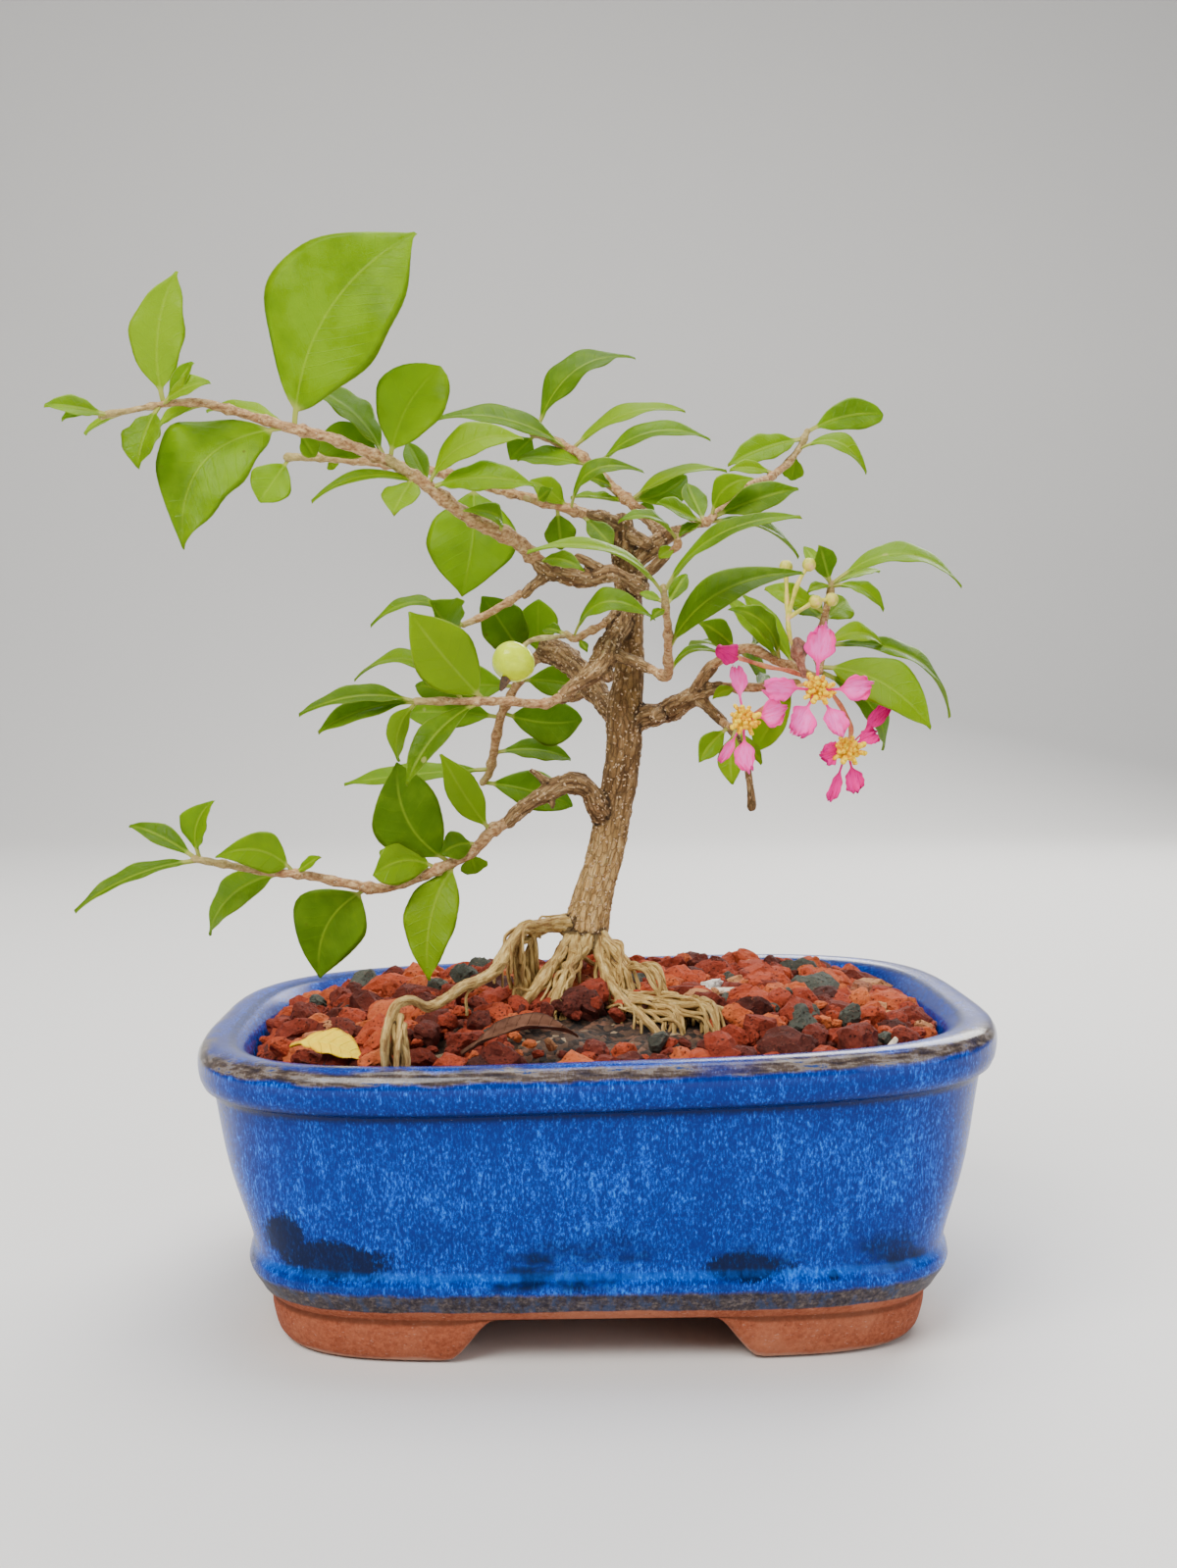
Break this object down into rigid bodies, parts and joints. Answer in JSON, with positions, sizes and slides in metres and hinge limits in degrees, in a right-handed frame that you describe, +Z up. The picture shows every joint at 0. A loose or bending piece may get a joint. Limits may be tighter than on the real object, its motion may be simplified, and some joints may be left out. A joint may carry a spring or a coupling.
{
  "type": "weeping cherry bonsai",
  "caption": "Small flowering cherry bonsai: upright trunk on bare arching roots, drooping leafy twigs, pink blossoms and a green fruit, in a footed blue glazed pot.",
  "frame": {"origin": "middle of the part's outline on the surface that the pot's feet stand on", "axes": "+Z up, -Y towards the front of the pot, +X to the right of the front view along the pot's length"},
  "size_m": [0.1886, 0.132, 0.2156],
  "materials": {
    "glazed_pot": "gloss",
    "drain_mesh": "matte",
    "potting_mix": "matte",
    "lava_gravel": "matte",
    "bark": "matte",
    "leaf_green": "satin",
    "leaf_yellow_green": "satin",
    "petal_pink": "matte",
    "petal_magenta": "matte",
    "anther_yellow": "matte",
    "flower_stalk": "satin",
    "dried_flower": "matte",
    "flower_bud": "matte",
    "fruit_green": "gloss",
    "fallen_leaf_yellow": "matte",
    "fallen_leaf_brown": "matte",
    "perlite": "matte",
    "pale_twig": "matte"
  },
  "bodies": {
    "root": {"pot": "glazed_pot", "drain_screen_left": "drain_mesh", "drain_screen_right": "drain_mesh", "soil": "potting_mix", "gravel": "lava_gravel", "wood": "bark", "low_left_spray": "leaf_green", "front_left_spray": "leaf_green", "mid_left_spray": "leaf_green", "fruit_spray": "leaf_green", "front_right_spray": "leaf_green", "right_upper_spray": "leaf_green", "right_far_spray": "leaf_green", "right_low_spray": "leaf_green", "right_hanging_spray": "leaf_green", "right_top_spray": "leaf_green", "stub_spray": "leaf_green", "back_top_spray": "leaf_green", "top_mid_spray": "leaf_green", "upper_left_spray": "leaf_yellow_green", "upper_left_tip_spray": "leaf_yellow_green", "back_left_spray": "leaf_yellow_green", "back_low_spray": "leaf_green", "bloom_a_petals": "petal_pink", "bloom_a_anthers": "anther_yellow", "bloom_b_petals": "petal_pink", "bloom_b_anthers": "anther_yellow", "bloom_c_petals": "petal_magenta", "bloom_c_anthers": "anther_yellow", "bloom_stalks": "flower_stalk", "wilted_bloom": "petal_magenta", "dried_bloom": "dried_flower", "flower_buds": "flower_bud", "fruit": "fruit_green", "fallen_yellow_leaf": "fallen_leaf_yellow", "fallen_brown_leaf": "fallen_leaf_brown", "perlite_chip": "perlite", "pale_stick": "pale_twig", "white_twig": "pale_twig"}
  },
  "joints": []
}
